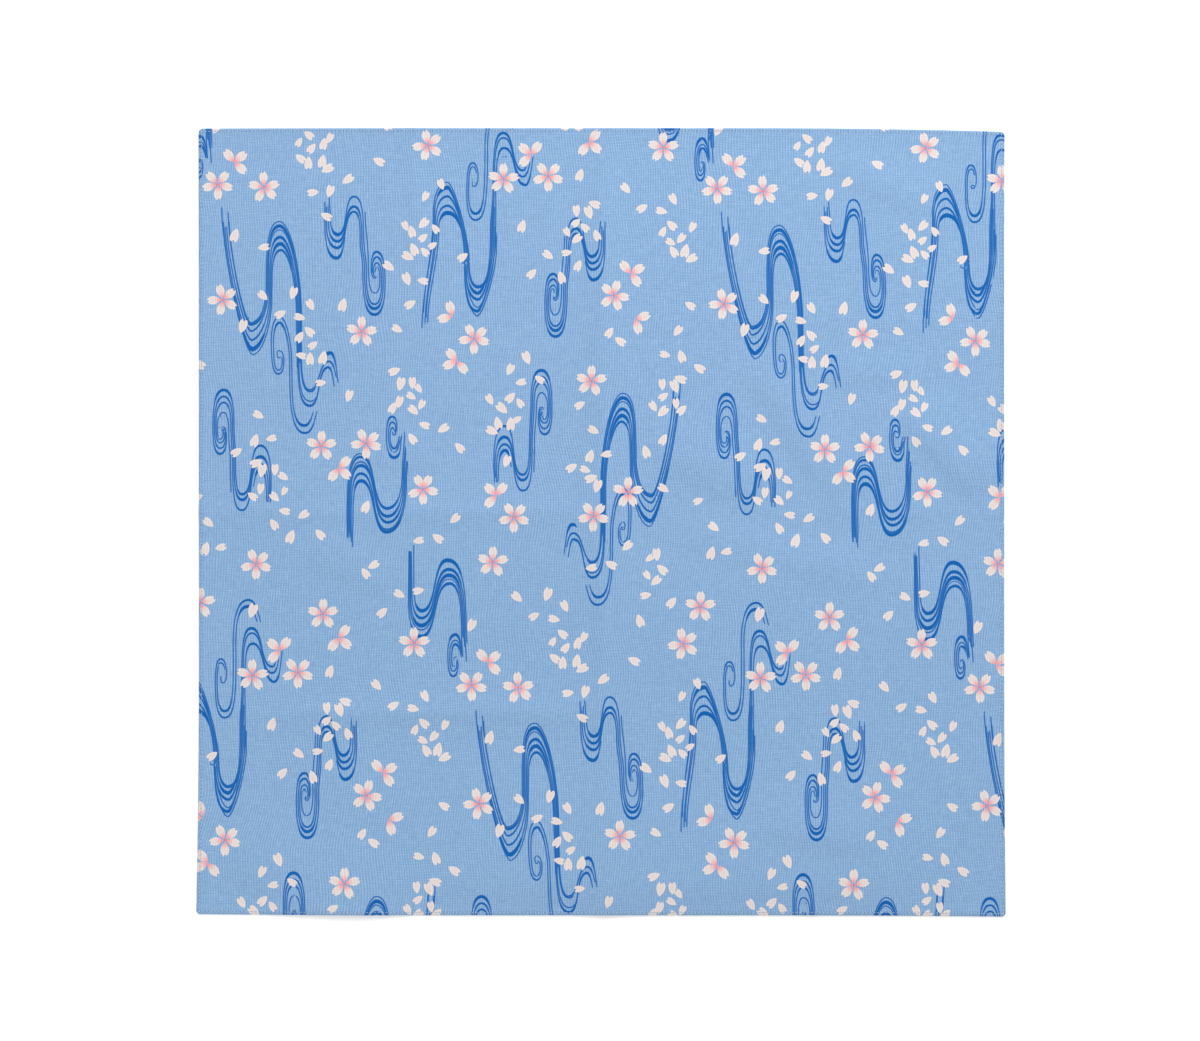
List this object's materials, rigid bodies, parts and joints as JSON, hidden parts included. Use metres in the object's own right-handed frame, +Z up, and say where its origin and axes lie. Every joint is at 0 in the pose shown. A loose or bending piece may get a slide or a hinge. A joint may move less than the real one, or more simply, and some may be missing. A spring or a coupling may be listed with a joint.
{
  "type": "furoshiki wrapping cloth",
  "caption": "Square cotton wrapping cloth with a narrow rolled hem, lying open and flat, with soft storage creases and a print of cherry blossoms and flowing water.",
  "frame": {"origin": "under the middle of the cloth's bounding box, on the surface that it lies on", "axes": "+X towards the cloth's right edge, +Y towards its upper edge, +Z up out of its printed face"},
  "size_m": [0.5007, 0.4878, 0.0054],
  "materials": {
    "printed_cotton": "matte"
  },
  "bodies": {
    "root": {"cloth": "printed_cotton"}
  },
  "joints": []
}
